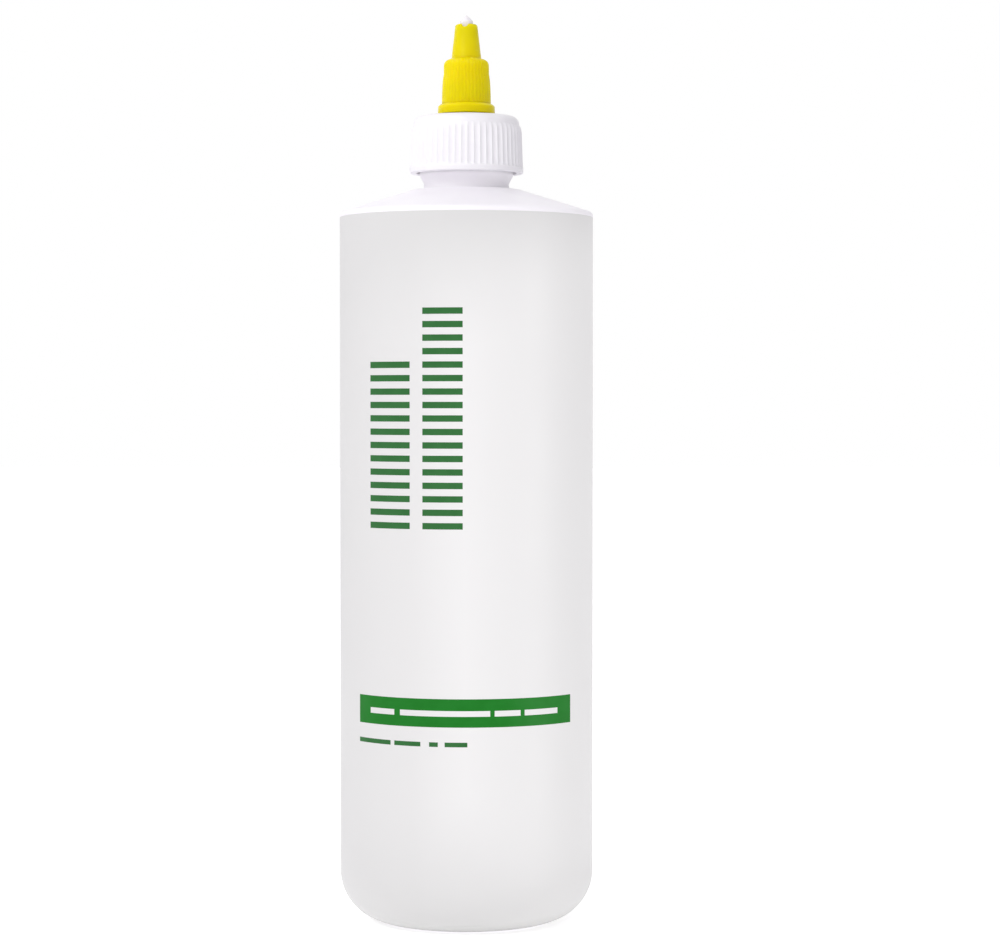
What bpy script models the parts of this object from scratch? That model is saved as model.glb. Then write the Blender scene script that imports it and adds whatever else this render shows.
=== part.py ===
"""Nail polish remover bottle with a ribbed screw cap and a twist-open nozzle.

Units are metres and +Z is up. The origin is the middle of the foot, on the surface that the
bottle stands on, and the front faces -Y. Every piece is round about the Z axis.
"""

import math

import bmesh
import bpy

# Fit between two pieces that touch on the real bottle
GAP = 0.0003

# Bottle body
BODY_RADIUS = 0.0254
BODY_WALL = 0.0011
BASE_ROUND = 0.0101
FOOT_WIDTH = 0.0036
PUSH_UP_STEP = 0.0010
PUSH_UP_HEIGHT = 0.0032
SHOULDER_HEIGHT = 0.1473
SHOULDER_SLOPE = math.radians(18.7)
SHOULDER_ROUND = 0.0014
LEDGE_WIDTH = 0.0019
BORE_ROUND = 0.0019

# Neck of the bottle, measured up from the ledge round its root
NECK_RADIUS = 0.0085
NECK_BORE = 0.0070
NECK_LENGTH = 0.0120
NECK_EDGE = 0.0004
BEAD_START = 0.0006
BEAD_RISE = 0.0017
BEAD_THICKNESS = 0.0007
BEAD_DEPTH = 0.0009

# Label sleeve, shrunk into a recess of the body and over the base corner
LABEL_THICKNESS = 0.0002
LABEL_END_ANGLE = math.radians(76)

# Liner, the foam ring that seals the cap on the neck
LINER_THICKNESS = 0.0008
LINER_OVERHANG = 0.0005
LINER_HOLE = 0.0032

# Screw cap
CAP_RIBS = 56
RIM_ABOVE_LEDGE = 0.00255
NECK_THREAD_SPACE = 0.0015
SKIRT_WALL = 0.0009
SKIRT_DRAFT = 0.0002
CAP_RIB_DEPTH = 0.00042
RIM_BEAD_HEIGHT = 0.0015
RIM_BEAD_DEPTH = 0.0001
TOP_BAND_WALL = 0.0012
TOP_BAND_HEIGHT = 0.0017
CAP_RIB_RAMP = 0.0014
CAP_CORE_INSET = 0.00015
CAP_RIB_END_INSET = 0.00007
RIB_OVERLAP = 0.0001
DECK_THICKNESS = 0.0013
DECK_ROUND = 0.0016
RIM_EDGE = 0.0003

# Tower of the cap, which carries the nozzle and holds the pin
TOWER_RADIUS = 0.00315
TOWER_HEIGHT = 0.0054
NOSE_RADIUS = 0.0021
NOSE_LENGTH = 0.0044
HUB_SEAT_HEIGHT = 0.0014

# Sealing pin
PIN_SHAFT_RADIUS = 0.00085
PIN_HEAD_RADIUS = 0.0013
PIN_HEAD_LENGTH = 0.0021
PIN_STANDS_OUT = 0.00185
PIN_POINT_RADIUS = 0.00012
HUB_RADIUS = 0.0021
HUB_HEIGHT = 0.0016
HUB_WALL = 0.0006
HUB_WEBS = 3
HUB_WEB_THICKNESS = 0.0007

# Twist nozzle, measured up from the deck of the cap
NOZZLE_RIBS = 40
NOZZLE_THREAD_SPACE = 0.00065
NOZZLE_WALL = 0.0005
NOZZLE_CORE_INSET = 0.0001
NOZZLE_FLARE = 0.00038
FLARE_START_SHARE = 0.25
FLARE_END_SHARE = 0.6
NOZZLE_RIB_DEPTH = 0.0002
NOZZLE_RIB_START = 0.00017
NOZZLE_RIB_ENDS = (math.radians(30), math.radians(55))
FLANGE_DEPTH = 0.0006
FLANGE_HEIGHT = 0.0011
FLANGE_CHAMFER = 0.0005
BARREL_HEIGHT = 0.00955
BARREL_ROUND = 0.0013
CONE_RADIUS = 0.0029
CONE_HEIGHT = 0.0069
CONE_FOOT_ROUND = 0.0005
ORIFICE_LIP = 0.0006
ORIFICE_LENGTH = 0.0011
ORIFICE_EDGE = 0.0005
CHANNEL_STEP = 0.0001
NOTCH_WIDTH = 0.0016
NOTCH_DEPTH = 0.0007

# Facets and ribs
BODY_STEPS = 40
PIN_STEPS = 24
DOME_STEPS = 4
FACET_SAG = 0.00004
SHARP_EDGE = math.radians(28)
CREST_SHARE = 0.48

# Levels and radii that follow from the sizes above
LABEL_RECESS = LABEL_THICKNESS + GAP
RECESSED_RADIUS = BODY_RADIUS - LABEL_RECESS
FOOT_RADIUS = BODY_RADIUS - BASE_ROUND
LEDGE_RADIUS = NECK_RADIUS + LEDGE_WIDTH
WALL_TOP = SHOULDER_HEIGHT - (BODY_RADIUS - LEDGE_RADIUS) * math.tan(SHOULDER_SLOPE)
RECESS_TOP = WALL_TOP - SHOULDER_ROUND * math.tan(math.pi / 4 - SHOULDER_SLOPE / 2)
NECK_TOP = SHOULDER_HEIGHT + NECK_LENGTH
LINER_RADIUS = NECK_RADIUS + LINER_OVERHANG
LINER_BOTTOM = NECK_TOP + GAP
LINER_TOP = LINER_BOTTOM + LINER_THICKNESS
SKIRT_BORE = NECK_RADIUS + NECK_THREAD_SPACE
POCKET_RADIUS = LINER_RADIUS + GAP
RIM = SHOULDER_HEIGHT + RIM_ABOVE_LEDGE
DECK_UNDERSIDE = LINER_TOP + GAP
DECK_TOP = DECK_UNDERSIDE + DECK_THICKNESS
TOWER_TOP = DECK_TOP + TOWER_HEIGHT
NOSE_TOP = TOWER_TOP + NOSE_LENGTH
TOWER_BORE = PIN_HEAD_RADIUS + GAP
HUB_STEP = DECK_UNDERSIDE + HUB_SEAT_HEIGHT + HUB_HEIGHT
HUB_TOP = HUB_STEP - GAP
NOZZLE_BOTTOM = DECK_TOP + GAP
FLANGE_TOP = NOZZLE_BOTTOM + FLANGE_HEIGHT
BARREL_TOP = FLANGE_TOP + BARREL_HEIGHT
NOZZLE_TOP = BARREL_TOP + CONE_HEIGHT
PIN_TOP = NOZZLE_TOP + PIN_STANDS_OUT


def plastic(name, colour, roughness):
    """A moulded plastic: its linear colour and its roughness."""
    material = bpy.data.materials.new(name)
    material.use_nodes = True
    shader = material.node_tree.nodes["Principled BSDF"]
    shader.inputs["Base Color"].default_value = (*colour, 1.0)
    shader.inputs["Roughness"].default_value = roughness
    shader.inputs["Metallic"].default_value = 0.0
    return material


def arc(centre, radius, start, end):
    """Points along an arc, close enough together that each chord sags FACET_SAG at most."""
    step = 2 * math.acos(1 - FACET_SAG / radius)
    count = max(1, math.ceil(abs(end - start) / step))
    angles = [start + (end - start) * i / count for i in range(count + 1)]
    return [(centre[0] + radius * math.cos(a), centre[1] + radius * math.sin(a)) for a in angles]


def fillet(before, corner, after, radius):
    """The arc that rounds a corner, kept within half of the shorter side."""
    x, z = corner
    back = math.hypot(before[0] - x, before[1] - z)
    ahead = math.hypot(after[0] - x, after[1] - z)
    back_way = ((before[0] - x) / back, (before[1] - z) / back)
    ahead_way = ((after[0] - x) / ahead, (after[1] - z) / ahead)
    half_angle = math.acos(back_way[0] * ahead_way[0] + back_way[1] * ahead_way[1]) / 2
    reach = min(radius / math.tan(half_angle), back / 2, ahead / 2)
    radius = reach * math.tan(half_angle)
    middle_way = (back_way[0] + ahead_way[0], back_way[1] + ahead_way[1])
    share = math.hypot(radius, reach) / math.hypot(*middle_way)
    centre = (x + middle_way[0] * share, z + middle_way[1] * share)
    start = math.atan2(z + back_way[1] * reach - centre[1], x + back_way[0] * reach - centre[0])
    end = math.atan2(z + ahead_way[1] * reach - centre[1], x + ahead_way[0] * reach - centre[0])
    turn = (end - start + math.pi) % (2 * math.pi) - math.pi
    return arc(centre, radius, start, start + turn)


def dome(edge_radius, edge_height, crown_height):
    """A shallow arc from (edge_radius, edge_height) to its crown on the axis."""
    rise = crown_height - edge_height
    sphere = (edge_radius**2 + rise**2) / (2 * rise)
    whole = math.asin(edge_radius / sphere)
    angles = [whole * (1 - i / DOME_STEPS) for i in range(DOME_STEPS + 1)]
    return [(sphere * math.sin(a), crown_height - sphere * (1 - math.cos(a))) for a in angles]


def piece(name, bm, seat, material):
    """A named object from bm, with its own origin on the axis at height seat."""
    bmesh.ops.translate(bm, verts=bm.verts, vec=(0, 0, -seat))
    bmesh.ops.recalc_face_normals(bm, faces=bm.faces)
    mesh = bpy.data.meshes.new(name)
    bm.to_mesh(mesh)
    bm.free()
    mesh.shade_smooth()
    mesh.set_sharp_from_angle(angle=SHARP_EDGE)
    mesh.materials.append(material)
    made = bpy.data.objects.new(name, mesh)
    made.location.z = seat
    bpy.context.collection.objects.link(made)
    return made


def turned(name, corners, steps, seat, material):
    """A profile spun about the Z axis.

    Its corners are (radius, height) or (radius, height, rounding). A profile that starts on the
    axis also ends there, and any other closes on itself.
    """
    closed = corners[0][0] > 0
    points = []
    for i, corner in enumerate(corners):
        if len(corner) == 2:
            points.append(corner)
        else:
            after = corners[(i + 1) % len(corners)]
            points += fillet(corners[i - 1][:2], corner[:2], after[:2], corner[2])
    bm = bmesh.new()
    verts = [bm.verts.new((x, 0, z)) for x, z in points]
    edges = [bm.edges.new(pair) for pair in zip(verts, verts[1:])]
    if closed:
        edges.append(bm.edges.new((verts[-1], verts[0])))
    bmesh.ops.spin(bm, geom=verts + edges, axis=(0, 0, 1), angle=2 * math.pi, steps=steps, use_merge=True)
    bmesh.ops.remove_doubles(bm, verts=bm.verts, dist=1e-7)
    return piece(name, bm, seat, material)


def rib_collar(name, levels, inner_radius, count, seat, material):
    """A collar of vertical ribs, lofted through levels (height, groove radius, crest radius)."""
    ends = [(height, inner_radius, inner_radius) for height in (levels[0][0], levels[-1][0])]
    bm = bmesh.new()
    rings = []
    for height, groove, crest in [ends[0], *levels, ends[1]]:
        ring = []
        for rib in range(count):
            for share, radius in ((-0.5, groove), (-CREST_SHARE / 2, crest), (CREST_SHARE / 2, crest)):
                angle = 2 * math.pi * (rib + share) / count
                ring.append(bm.verts.new((radius * math.cos(angle), radius * math.sin(angle), height)))
        rings.append(ring)
    for low, high in zip(rings, rings[1:] + rings[:1]):
        for i in range(len(low)):
            bm.faces.new((low[i - 1], low[i], high[i], high[i - 1]))
    return piece(name, bm, seat, material)


def block(name, size, centre, turn, material):
    """A block of the given size, turned about the Z axis."""
    bm = bmesh.new()
    bmesh.ops.create_cube(bm, size=1)
    bmesh.ops.scale(bm, verts=bm.verts, vec=size)
    made = piece(name, bm, 0, material)
    made.location = centre
    made.rotation_euler.z = turn
    return made


def combine(target, tool, operation):
    """Join the tool to the target, or cut it away, and keep the tool as a guide."""
    change = target.modifiers.new(tool.name, "BOOLEAN")
    change.operation = operation
    change.solver = "EXACT"
    change.object = tool
    tool.hide_render = True
    tool.display_type = "WIRE"


def make_bottle(material):
    """The hollow bottle: neck with its bead, sloped shoulder, label recess, foot and push-up."""
    inner_radius = RECESSED_RADIUS - BODY_WALL
    foot_inside = FOOT_RADIUS - FOOT_WIDTH
    push_up_radius = foot_inside - PUSH_UP_STEP
    slope = math.tan(SHOULDER_SLOPE)
    inner_corner = WALL_TOP + (BODY_RADIUS - inner_radius) * slope - BODY_WALL / math.cos(SHOULDER_SLOPE)
    bore_corner = inner_corner + (inner_radius - NECK_BORE) * slope
    bead_radius = NECK_RADIUS + BEAD_DEPTH
    bead_bottom = SHOULDER_HEIGHT + BEAD_START + BEAD_RISE
    bead_top = bead_bottom + BEAD_THICKNESS
    base_centre = (FOOT_RADIUS, BASE_ROUND)
    recess_end = LABEL_END_ANGLE + GAP / BASE_ROUND
    floor = dome(push_up_radius, PUSH_UP_STEP + BODY_WALL, PUSH_UP_HEIGHT + BODY_WALL)
    push_up = dome(push_up_radius, PUSH_UP_STEP, PUSH_UP_HEIGHT)
    corners = [
        *reversed(floor),
        *arc(base_centre, BASE_ROUND - LABEL_RECESS - BODY_WALL, -math.pi / 2, 0),
        (inner_radius, inner_corner, SHOULDER_ROUND),
        (NECK_BORE, bore_corner, BORE_ROUND),
        (NECK_BORE, NECK_TOP),
        (NECK_RADIUS, NECK_TOP, NECK_EDGE),
        (NECK_RADIUS, bead_top + BEAD_DEPTH),
        (bead_radius, bead_top),
        (bead_radius, bead_bottom, NECK_EDGE),
        (NECK_RADIUS, SHOULDER_HEIGHT + BEAD_START),
        (NECK_RADIUS, SHOULDER_HEIGHT),
        (LEDGE_RADIUS, SHOULDER_HEIGHT),
        (BODY_RADIUS, WALL_TOP, SHOULDER_ROUND),
        (BODY_RADIUS, RECESS_TOP - GAP),
        (RECESSED_RADIUS, RECESS_TOP - GAP),
        *arc(base_centre, BASE_ROUND - LABEL_RECESS, 0, -recess_end),
        *arc(base_centre, BASE_ROUND, -recess_end, -math.pi / 2),
        (foot_inside, 0),
        *push_up,
    ]
    return turned("bottle", corners, BODY_STEPS, 0, material)


def make_label(material):
    """The sleeve in the recess, drawn in over the base corner and ending just above the foot."""
    top = RECESS_TOP - 2 * GAP
    base_centre = (FOOT_RADIUS, BASE_ROUND)
    corners = [
        (BODY_RADIUS, top),
        *arc(base_centre, BASE_ROUND, 0, -LABEL_END_ANGLE),
        *arc(base_centre, BASE_ROUND - LABEL_THICKNESS, -LABEL_END_ANGLE, 0),
        (BODY_RADIUS - LABEL_THICKNESS, top),
    ]
    return turned("label_sleeve", corners, BODY_STEPS, 0, material)


def make_liner(material):
    """The foam ring between the top of the neck and the deck of the cap."""
    corners = [
        (LINER_HOLE, LINER_TOP),
        (LINER_RADIUS, LINER_TOP),
        (LINER_RADIUS, LINER_BOTTOM),
        (LINER_HOLE, LINER_BOTTOM),
    ]
    return turned("cap_liner", corners, BODY_STEPS, LINER_BOTTOM, material)


def make_cap(material):
    """The screw cap: rounded deck, ribbed skirt on a rim bead, and the tower with its nose."""
    groove_low = SKIRT_BORE + SKIRT_WALL
    groove_high = groove_low - SKIRT_DRAFT
    core_low = groove_low - CAP_CORE_INSET
    core_high = groove_high - CAP_CORE_INSET
    band_radius = POCKET_RADIUS + TOP_BAND_WALL
    band_bottom = DECK_TOP - TOP_BAND_HEIGHT
    bead_radius = groove_low + CAP_RIB_DEPTH + RIM_BEAD_DEPTH
    bead_top = RIM + RIM_BEAD_HEIGHT
    hub_bore = HUB_RADIUS + GAP
    pocket_bottom = NECK_TOP - LINER_THICKNESS
    corners = [
        (TOWER_BORE, NOSE_TOP),
        (NOSE_RADIUS, NOSE_TOP),
        (NOSE_RADIUS, TOWER_TOP),
        (TOWER_RADIUS, TOWER_TOP),
        (TOWER_RADIUS, DECK_TOP),
        (band_radius, DECK_TOP, DECK_ROUND),
        (band_radius, band_bottom),
        (core_high, band_bottom - CAP_RIB_RAMP),
        (core_low, bead_top + RIB_OVERLAP),
        (bead_radius, bead_top, RIM_EDGE),
        (bead_radius, RIM, RIM_EDGE),
        (SKIRT_BORE, RIM),
        (SKIRT_BORE, pocket_bottom - (SKIRT_BORE - POCKET_RADIUS)),
        (POCKET_RADIUS, pocket_bottom),
        (POCKET_RADIUS, DECK_UNDERSIDE),
        (hub_bore, DECK_UNDERSIDE),
        (hub_bore, HUB_STEP),
        (TOWER_BORE, HUB_STEP),
    ]
    cap = turned("screw_cap", corners, CAP_RIBS, RIM, material)
    rib_end = band_radius - CAP_RIB_END_INSET
    levels = [
        (bead_top - RIB_OVERLAP, groove_low, groove_low + CAP_RIB_DEPTH),
        (band_bottom - CAP_RIB_RAMP, groove_high, groove_high + CAP_RIB_DEPTH),
        (band_bottom + RIB_OVERLAP, rib_end, rib_end),
    ]
    collar = rib_collar("cap_rib_guide", levels, (SKIRT_BORE + core_high) / 2, CAP_RIBS, RIM, material)
    combine(cap, collar, "UNION")
    return cap


def make_pin(material):
    """The sealing pin: a webbed hub seated in the tower, a slim shaft and a pointed head."""
    hub_bottom = HUB_TOP - HUB_HEIGHT
    head_shoulder = PIN_TOP - PIN_HEAD_RADIUS + PIN_POINT_RADIUS
    head_bottom = head_shoulder - PIN_HEAD_LENGTH
    corners = [
        (0, PIN_TOP),
        (PIN_POINT_RADIUS, PIN_TOP),
        (PIN_HEAD_RADIUS, head_shoulder),
        (PIN_HEAD_RADIUS, head_bottom),
        (PIN_SHAFT_RADIUS, head_bottom - PIN_HEAD_RADIUS + PIN_SHAFT_RADIUS),
        (PIN_SHAFT_RADIUS, hub_bottom),
        (0, hub_bottom),
    ]
    pin = turned("sealing_pin", corners, PIN_STEPS, HUB_TOP, material)
    ring = [
        (HUB_RADIUS - HUB_WALL, HUB_TOP),
        (HUB_RADIUS, HUB_TOP),
        (HUB_RADIUS, hub_bottom),
        (HUB_RADIUS - HUB_WALL, hub_bottom),
    ]
    combine(pin, turned("hub_ring_guide", ring, PIN_STEPS, HUB_TOP, material), "UNION")
    web_start = PIN_SHAFT_RADIUS / 2
    web_end = HUB_RADIUS - HUB_WALL / 2
    web_size = (web_end - web_start, HUB_WEB_THICKNESS, HUB_HEIGHT - GAP)
    for i in range(HUB_WEBS):
        turn = 2 * math.pi * i / HUB_WEBS
        middle = (web_start + web_end) / 2
        centre = (middle * math.cos(turn), middle * math.sin(turn), HUB_TOP - HUB_HEIGHT / 2)
        combine(pin, block(f"hub_web_guide_{i + 1}", web_size, centre, turn, material), "UNION")
    return pin


def make_nozzle(material):
    """The twist nozzle: flanged and ribbed barrel, cone and notched orifice."""
    socket_radius = TOWER_RADIUS + NOZZLE_THREAD_SPACE
    socket_top = TOWER_TOP + GAP
    seal_radius = NOSE_RADIUS + GAP
    seal_top = NOSE_TOP + GAP
    orifice_radius = PIN_HEAD_RADIUS + GAP
    channel_radius = orifice_radius + CHANNEL_STEP
    groove_high = socket_radius + NOZZLE_WALL
    groove_low = groove_high + NOZZLE_FLARE
    core_high = groove_high - NOZZLE_CORE_INSET
    core_low = groove_low - NOZZLE_CORE_INSET
    flange_radius = groove_low + NOZZLE_RIB_DEPTH + FLANGE_DEPTH
    flare_bottom = FLANGE_TOP + BARREL_HEIGHT * FLARE_START_SHARE
    flare_top = FLANGE_TOP + BARREL_HEIGHT * FLARE_END_SHARE
    corners = [
        (orifice_radius, NOZZLE_TOP),
        (orifice_radius + ORIFICE_LIP, NOZZLE_TOP, ORIFICE_EDGE),
        (CONE_RADIUS, BARREL_TOP, CONE_FOOT_ROUND),
        (core_high, BARREL_TOP, BARREL_ROUND),
        (core_high, flare_top),
        (core_low, flare_bottom),
        (core_low, FLANGE_TOP + FLANGE_CHAMFER),
        (flange_radius, FLANGE_TOP, RIM_EDGE),
        (flange_radius, NOZZLE_BOTTOM),
        (socket_radius, NOZZLE_BOTTOM),
        (socket_radius, socket_top),
        (seal_radius, socket_top),
        (seal_radius, seal_top),
        (channel_radius, seal_top + seal_radius - channel_radius),
        (channel_radius, NOZZLE_TOP - ORIFICE_LENGTH - CHANNEL_STEP),
        (orifice_radius, NOZZLE_TOP - ORIFICE_LENGTH),
    ]
    nozzle = turned("twist_nozzle", corners, NOZZLE_RIBS, NOZZLE_BOTTOM, material)
    round_start = BARREL_TOP - BARREL_ROUND
    levels = [
        (FLANGE_TOP + NOZZLE_RIB_START, groove_low, groove_low + NOZZLE_RIB_DEPTH),
        (flare_bottom, groove_low, groove_low + NOZZLE_RIB_DEPTH),
        (flare_top, groove_high, groove_high + NOZZLE_RIB_DEPTH),
        (round_start, groove_high, groove_high + NOZZLE_RIB_DEPTH),
    ]
    crest_round = BARREL_ROUND + NOZZLE_RIB_DEPTH + NOZZLE_CORE_INSET
    buried_round = BARREL_ROUND - NOZZLE_CORE_INSET
    for angle, reach in zip(NOZZLE_RIB_ENDS, (crest_round, buried_round)):
        crest = core_high - BARREL_ROUND + reach * math.cos(angle)
        levels.append((round_start + reach * math.sin(angle), min(groove_high, crest), crest))
    inner_radius = (socket_radius + core_high) / 2
    collar = rib_collar("nozzle_rib_guide", levels, inner_radius, NOZZLE_RIBS, NOZZLE_BOTTOM, material)
    combine(nozzle, collar, "UNION")
    notch_size = (NOTCH_WIDTH, 2 * CONE_RADIUS, 2 * NOTCH_DEPTH)
    combine(nozzle, block("nozzle_notch_guide", notch_size, (0, 0, NOZZLE_TOP), 0, material), "DIFFERENCE")
    return nozzle


def clear_scene():
    """Start from an empty scene."""
    for old in list(bpy.data.objects):
        bpy.data.objects.remove(old, do_unlink=True)


clear_scene()
make_bottle(plastic("natural_white_hdpe", (0.86, 0.83, 0.88), 0.45))
make_label(plastic("pale_grey_sleeve", (0.80, 0.80, 0.80), 0.35))
make_liner(plastic("white_foam", (0.92, 0.92, 0.90), 0.85))
make_cap(plastic("white_polypropylene", (0.95, 0.95, 0.96), 0.35))
make_pin(plastic("clear_polyethylene", (0.90, 0.88, 0.92), 0.30))
make_nozzle(plastic("yellow_polyethylene", (0.80, 0.64, 0.01), 0.35))
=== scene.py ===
"""Looks of the nail polish remover bottle: its bottle, label film, liner, cap, pin and nozzle.

Sections are drawn in millimetres and everything in the file is made in metres. The pieces stand
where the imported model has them: +Z is up, and the front of the label faces -Y.
"""

import math

import bmesh
import bpy
import mathutils
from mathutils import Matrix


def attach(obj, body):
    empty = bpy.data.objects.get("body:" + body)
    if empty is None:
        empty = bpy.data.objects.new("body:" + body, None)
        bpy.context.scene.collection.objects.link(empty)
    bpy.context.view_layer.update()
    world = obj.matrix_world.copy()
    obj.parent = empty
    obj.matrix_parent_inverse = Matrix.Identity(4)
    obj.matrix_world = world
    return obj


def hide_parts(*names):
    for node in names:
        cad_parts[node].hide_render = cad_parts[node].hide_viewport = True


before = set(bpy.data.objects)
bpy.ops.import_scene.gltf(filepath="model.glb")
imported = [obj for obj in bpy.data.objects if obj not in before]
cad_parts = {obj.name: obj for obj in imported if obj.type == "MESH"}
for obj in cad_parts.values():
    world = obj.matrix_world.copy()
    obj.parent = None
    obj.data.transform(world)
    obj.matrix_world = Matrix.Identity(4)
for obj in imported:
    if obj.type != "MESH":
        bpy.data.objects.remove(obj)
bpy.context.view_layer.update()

# In metres: a millimetre, the gap that is welded shut, and how near a point is to where it is sought
MM = 0.001
WELD = 0.000001
NEAR = 0.00001

# Edges that turn by more than this many degrees stay sharp
SHARP_ANGLE = 32

# Bottle, in millimetres, with angles in degrees round the base corner
BODY_RADIUS = 25.4
BODY_WALL = 1.1
BASE_ROUND = 10.1
BASE_CENTRE = (BODY_RADIUS - BASE_ROUND, BASE_ROUND)
FOOT_RADIUS = 11.7
PUSH_UP_RADIUS = 10.7
PUSH_UP_EDGE = 1.0
PUSH_UP_CROWN = 3.2
RECESS_DEPTH = 0.21
RECESS_TOP = 141.155
RECESS_END_ANGLE = 77.5
SHOULDER_TOP = 142.1
LEDGE = 146.65
LEDGE_RADIUS = 11.0
NECK_RADIUS = 8.5
NECK_BORE = 7.0
NECK_TOP = 159.3
BOTTLE_COLUMNS = 256

# The neck's bead: its radius, where it leaves the neck below and above, and its full band
BEAD_RADIUS = 9.4
BEAD_FOOT = 147.9
BEAD_BAND = (149.6, 150.3)
BEAD_HEAD = 151.2

# Parting line: how far it stands out, where it ends at the bead, and its radii under the base
PARTING_HEIGHT = 0.09
PARTING_TOP = 149.4
PARTING_UNDER = (2.0, 10.0)

# Label film, with a column for each degree so that the print's edges fall on columns
FILM_THICKNESS = 0.2
FILM_TOP = 141.15
FILM_END_ANGLE = 76
FILM_COLUMNS = 360
SEAM_HALF_ANGLE = 4
SEAM_STEP = 0.07

# Print, as angles from the front in degrees and heights in millimetres
PRINT_FOOT = 79.6
RUNG_PITCH = 2.6
RUNG_HEIGHT = 1.25
RUNGS = {(-47, -25): 13, (-19, -1): 17}
BAR_HEIGHTS = (41.3, 46.8)
BAR_SIDES = (-55, 54)
BAR_DASH_HEIGHTS = (43.4, 44.5)
BAR_DASHES = ((-47, -33), (-30, 11), (13, 25), (27, 45))
SMALL_DASH_HEIGHTS = (37.5, 38.4)
SMALL_DASHES = ((-55, -35), (-33, -20), (-16, -12), (-9, 1))

# The film's colours: grey, paler from 5 mm left of the axis on to its right side as painted fill
# light, palest in a tall field that fades out over FIELD_REACH, partly print and partly a painted
# highlight, and greyer where the seam doubles the film
FILM_GREY = (0.652, 0.649, 0.644, 1)
FILM_PAINTED_FILL = (0.730, 0.725, 0.719, 1)
FILM_WHITE = (0.757, 0.752, 0.747, 1)
FILM_DOUBLED = (0.585, 0.582, 0.575, 1)
DOUBLED_SHARE = 0.45
PAINTED_FILL_FROM = -5.0
FIELD_TOP = 114.0
FIELD_BOTTOM = 29.0
FIELD_REACH = 26.0

# Puckers where the film is drawn in: where they begin, where they are full, and their height
PUCKER_TOP = 14.0
PUCKER_FULL = 2.0
PUCKER_HEIGHT = 2.0

# Liner
LINER_BORE = 3.2
LINER_RADIUS = 9.0
LINER_BOTTOM = 159.6
LINER_GROOVE = 159.7
LINER_TOP = 160.4

# Cap, with the share of a rib's depth at each of a rib's columns
RIM = 149.98
RIM_TOP = 150.9
RIM_RADIUS = 11.43
DECK = 161.68
DECK_EDGE = 161.37
DECK_RADIUS = 10.6
DECK_UNDERSIDE = 160.7
CAP_BORE = 10.0
SEAT_RADIUS = 9.3
CAP_RIBS = 56
CAP_RIB_SHAPE = (0.22, 0.6, 1, 0.6, 0.22, 0.05, 0, 0.05)
TOWER_RADIUS = 3.15
TOWER_TOP = 167.4
NOSE_RADIUS = 2.1
NOSE_BORE = 1.6
NOSE_TOP = 171.8
HUB_SEAT_RADIUS = 2.4
HUB_SEAT_TOP = 163.7

# Pin
PIN_TOP = 181.7
PIN_BOTTOM = 161.8
PIN_COLUMNS = 64
HEAD_RADIUS = 1.3
SHAFT_RADIUS = 0.85
HUB_RADIUS = 2.1
HUB_BORE = 1.5
HUB_TOP = 163.4
WEB_MIDDLE = (1.2, 0, 162.6)
WEB_SIZE = (1.2, 0.7, 1.3)
WEBS = 3

# Nozzle
NOZZLE_BOTTOM = 161.95
NOZZLE_BORE = 3.8
NOZZLE_TOP = 179.85
BARREL_TOP = 172.95
BARREL_ROUND = 1.45
FLANGE_RADIUS = 5.74
ORIFICE_RADIUS = 1.6
NOTCH_RADIUS = 0.68
NOTCH_ANGLE = -8
NOZZLE_RIBS = 40
NOZZLE_RIB_DEPTH = 0.12
NOZZLE_RIB_SHAPE = (0, 0.3, 0.7, 0.93, 1, 0.93, 0.7, 0.3)

# Threads: how far the cap rises in a turn, and the nozzle, and the heights where the ridges start
CAP_PITCH = 3.175
NOZZLE_LEAD = 6.0
NECK_THREAD_START = 153.3
TOWER_THREAD_START = 163.6

# The nozzle's ridges start this far round and this high, and run midway between the tower's ridges
NOZZLE_THREAD_ANGLE = math.tau * 0.12
NOZZLE_THREAD_START = 162.82

# A thread's ridge: its steps in a turn, how deep it is rooted in the wall, and its run-out
RIDGE_STEPS = 72
RIDGE_SUNK = 0.25
RUN_OUT_STEPS = 6
RUN_OUT_SIZE = 0.25

# The pale world: its level from the left and from the right, and what is added from above
WORLD_LEFT = 0.605
WORLD_RIGHT = 0.215
WORLD_ABOVE = 0.46

# The floor: a little under the foot, and its glow on the object and before the camera
FLOOR_HEIGHT = -0.05
FLOOR_SIZE = 8
FLOOR_GLOW = 0.33
FLOOR_GLOW_SEEN = 0.49


def start_fresh():
    """Leave edit mode and select nothing."""
    if bpy.context.mode != "OBJECT":
        bpy.ops.object.mode_set(mode="OBJECT")
    bpy.ops.object.select_all(action="DESELECT")


def take_up(piece):
    """Select one piece alone and make it the active one."""
    start_fresh()
    piece.select_set(True)
    bpy.context.view_layer.objects.active = piece


def edit(piece):
    """Open a piece in edit mode with nothing in it selected."""
    take_up(piece)
    bpy.ops.object.mode_set(mode="EDIT")
    bpy.ops.mesh.select_all(action="DESELECT")


def choose_points(piece, rule):
    """Select the points of the open piece that a rule picks by their place."""
    bpy.ops.mesh.select_mode(type="VERT")
    bpy.ops.mesh.select_all(action="DESELECT")
    mesh = bmesh.from_edit_mesh(piece.data)
    for point in mesh.verts:
        point.select_set(rule(point))
    mesh.select_flush_mode()
    bmesh.update_edit_mesh(piece.data)


def choose_faces(piece, rule):
    """Select the faces of the open piece that a rule picks by their middle and their normal."""
    bpy.ops.mesh.select_mode(type="FACE")
    bpy.ops.mesh.select_all(action="DESELECT")
    mesh = bmesh.from_edit_mesh(piece.data)
    for face in mesh.faces:
        face.select_set(rule(face.calc_center_median(), face.normal))
    bmesh.update_edit_mesh(piece.data)


def within(value, span):
    """Whether a value lies between the two ends of a span."""
    return span[0] < value < span[1]


def arc(centre, radius, start, end, count):
    """Points along an arc from one angle to another, in degrees."""
    angles = [math.radians(start + (end - start) * i / count) for i in range(count + 1)]
    return [(centre[0] + radius * math.cos(a), centre[1] + radius * math.sin(a)) for a in angles]


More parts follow.
